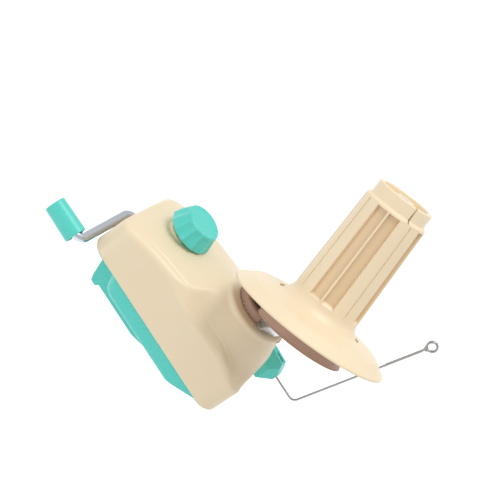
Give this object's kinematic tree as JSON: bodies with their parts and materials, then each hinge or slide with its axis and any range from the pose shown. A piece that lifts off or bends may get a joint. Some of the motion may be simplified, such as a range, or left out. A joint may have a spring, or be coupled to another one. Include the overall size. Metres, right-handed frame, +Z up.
{
  "type": "yarn cone winder",
  "caption": "Table-clamped hand-crank yarn winder: geared housing, tilted fluted winding cone on a turning bracket, wire yarn guide with an eye, screw clamp",
  "frame": {"origin": "on the flat underside of the base, on the vertical spindle axis", "axes": "+Z up along the spindle, +X from the crank end to the wire guide end, +Y to the far side as pictured"},
  "size_m": [0.2185, 0.1359, 0.2241],
  "materials": {
    "cream": "smooth moulded",
    "teal": "smooth moulded",
    "brown": "smooth moulded",
    "gear_white": "moulded",
    "rod_steel": "bright plated",
    "plate_steel": "zinc plated",
    "brass": "turned",
    "pad": "matt"
  },
  "bodies": {
    "housing": {"top_cover": "cream", "base_tray": "teal", "cover_screws": "plate_steel", "crank_bush": "brass", "pedestal_bush": "brass", "idler_axle": "rod_steel", "fixed_post": "rod_steel", "neck_bush": "brass", "knob_collar": "brown", "sun_roller": "brown", "post_nut": "plate_steel", "guide_holder": "teal"},
    "crank": {"crank_rod": "rod_steel", "crank_gear": "gear_white", "crank_clip": "plate_steel", "grip_clip": "plate_steel"},
    "grip": {"crank_grip": "teal", "grip_cap": "teal"},
    "idler": {"idler_gear": "gear_white"},
    "spindle": {"spindle_sleeve": "plate_steel", "spindle_pinion": "gear_white", "bracket": "plate_steel", "neck_ring": "brown", "bracket_nut": "plate_steel", "cone_pin": "rod_steel", "cone_cap": "plate_steel"},
    "cone": {"winding_cone": "cream", "cone_ring": "brown"},
    "knob": {"clamp_knob": "teal", "sleeve_nut": "plate_steel", "knob_washer": "plate_steel", "sleeve_clip": "plate_steel"},
    "jaw": {"clamp_jaw": "teal", "clamp_screw": "plate_steel", "jaw_pad": "pad"},
    "guide": {"guide_wire": "rod_steel"}
  },
  "joints": [
    {"name": "spindle_turn", "type": "hinge", "parent": "housing", "child": "spindle", "pos_m": [0, 0, 0.07], "axis": [0, 0, 1], "continuous": true},
    {"name": "crank_turn", "type": "hinge", "parent": "housing", "child": "crank", "pos_m": [-0.09, 0.009, 0.0205], "axis": [1, 0, 0], "continuous": true},
    {"name": "idler_turn", "type": "hinge", "parent": "housing", "child": "idler", "pos_m": [-0.02651, 0.009, 0.02], "axis": [0, 0, 1], "continuous": true},
    {"name": "cone_spin", "type": "hinge", "parent": "spindle", "child": "cone", "pos_m": [0.02795, -0.0243, 0.10288], "axis": [-0.3285, 0.2855, 0.9003], "continuous": true},
    {"name": "grip_spin", "type": "hinge", "parent": "crank", "child": "grip", "pos_m": [-0.13, -0.04795, 0.00953], "axis": [1, 0, 0], "continuous": true},
    {"name": "knob_turn", "type": "hinge", "parent": "housing", "child": "knob", "pos_m": [-0.066, 0, 0.055], "axis": [0, 0, 1], "range_deg": [0, 4680]},
    {"name": "jaw_slide", "type": "slide", "parent": "housing", "child": "jaw", "axis": [0, 0, 1], "range_m": [-0.026, 0]},
    {"name": "guide_swing", "type": "hinge", "parent": "housing", "child": "guide", "pos_m": [0.045, 0.03, 0.0328], "axis": [1, 0, 0], "range_deg": [-80, 0]}
  ],
  "couplings": [
    {"joint": "crank_turn", "follows": "spindle_turn", "ratio": 0.2},
    {"joint": "idler_turn", "follows": "spindle_turn", "ratio": -0.4},
    {"joint": "cone_spin", "follows": "spindle_turn", "ratio": 0.4},
    {"joint": "knob_turn", "follows": "jaw_slide", "rad_per_m": -3141.6}
  ]
}
